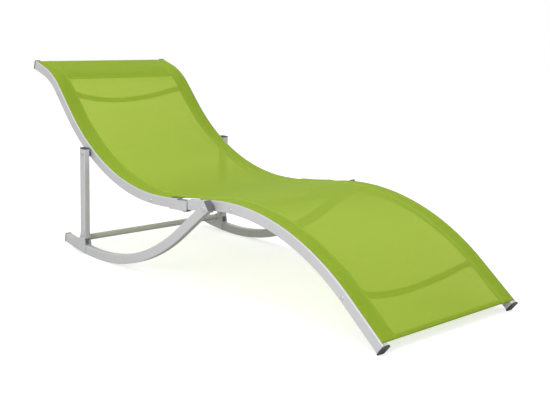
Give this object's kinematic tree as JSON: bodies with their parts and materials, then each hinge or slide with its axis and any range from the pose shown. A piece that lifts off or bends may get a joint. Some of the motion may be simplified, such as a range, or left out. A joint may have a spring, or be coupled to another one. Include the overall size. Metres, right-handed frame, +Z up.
{
  "type": "rocking chaise lounge",
  "caption": "S-shaped folding chaise lounge: a fabric sling on grooved metal rails, standing on curved rocker legs with upright posts and a base crossbar.",
  "frame": {"origin": "on the ground, under the middle of the lounge's length and width", "axes": "+X from the head to the foot, +Z up, Y = 0 the plane of symmetry; the right-hand side is at -Y"},
  "size_m": [1.6618, 0.616, 0.633],
  "materials": {
    "frame": "satin silver paint",
    "black_plastic": "matte black",
    "washer_plastic": "matte grey",
    "fasteners": "zinc plated",
    "fabric": "open-weave coated mesh",
    "keder": "smooth"
  },
  "bodies": {
    "rear_frame": {"rear_rail_right": "frame", "rear_rail_left": "frame", "head_caps": "black_plastic", "rear_rail_plugs": "black_plastic", "head_crossbar": "frame", "seat_crossbar": "frame", "rear_bar_inserts": "washer_plastic", "rear_bar_screws": "fasteners", "hinge_bracket_right": "frame", "hinge_bracket_left": "frame", "bracket_rivets": "fasteners", "hinge_pins": "fasteners", "post_washers": "washer_plastic", "rail_studs": "fasteners", "sling_back": "fabric", "back_keder_rods": "keder"},
    "front_frame": {"front_rail_right": "frame", "front_rail_left": "frame", "foot_cap_right": "black_plastic", "foot_cap_left": "black_plastic", "thigh_crossbar": "frame", "foot_crossbar": "frame", "front_bar_inserts": "washer_plastic", "front_bar_screws": "fasteners", "hinge_tongue_right": "black_plastic", "hinge_tongue_left": "black_plastic", "tongue_rivets": "fasteners", "sling_leg": "fabric", "leg_keder_rods": "keder"},
    "curved_legs": {"curved_leg_right": "frame", "curved_leg_left": "frame", "leg_rear_caps": "black_plastic", "leg_front_caps": "black_plastic", "outer_cheek_right": "frame", "outer_cheek_left": "frame", "inner_cheek_right": "frame", "inner_cheek_left": "frame", "cheek_rivets": "fasteners", "base_crossbar": "frame", "post_foot_bolts": "fasteners", "leg_bolts": "fasteners", "leg_washers": "washer_plastic"},
    "right_post": {"post_right": "frame", "post_top_cap_right": "black_plastic", "post_foot_plug_right": "black_plastic", "post_stud_right": "fasteners"},
    "left_post": {"post_left": "frame", "post_top_cap_left": "black_plastic", "post_foot_plug_left": "black_plastic", "post_stud_left": "fasteners"}
  },
  "joints": [
    {"name": "seat_fold", "type": "hinge", "parent": "rear_frame", "child": "front_frame", "pos_m": [0.0545, 0, 0.23227], "axis": [0, 1, 0], "range_deg": [0, 150]},
    {"name": "leg_swing", "type": "hinge", "parent": "front_frame", "child": "curved_legs", "pos_m": [0.18173, 0, 0.2555], "axis": [0, -1, 0], "range_deg": [0, 126.4]},
    {"name": "right_post_swing", "type": "hinge", "parent": "curved_legs", "child": "right_post", "pos_m": [-0.47764, -0.293, 0.06774], "axis": [0, 1, 0], "range_deg": [0, 42.2]},
    {"name": "left_post_swing", "type": "hinge", "parent": "curved_legs", "child": "left_post", "pos_m": [-0.47764, 0.293, 0.06774], "axis": [0, 1, 0], "range_deg": [0, 42.2]}
  ],
  "couplings": [
    {"joint": "leg_swing", "follows": "seat_fold", "ratio": 0.84288},
    {"joint": "right_post_swing", "follows": "seat_fold", "ratio": 0.28139},
    {"joint": "left_post_swing", "follows": "seat_fold", "ratio": 0.28139}
  ]
}
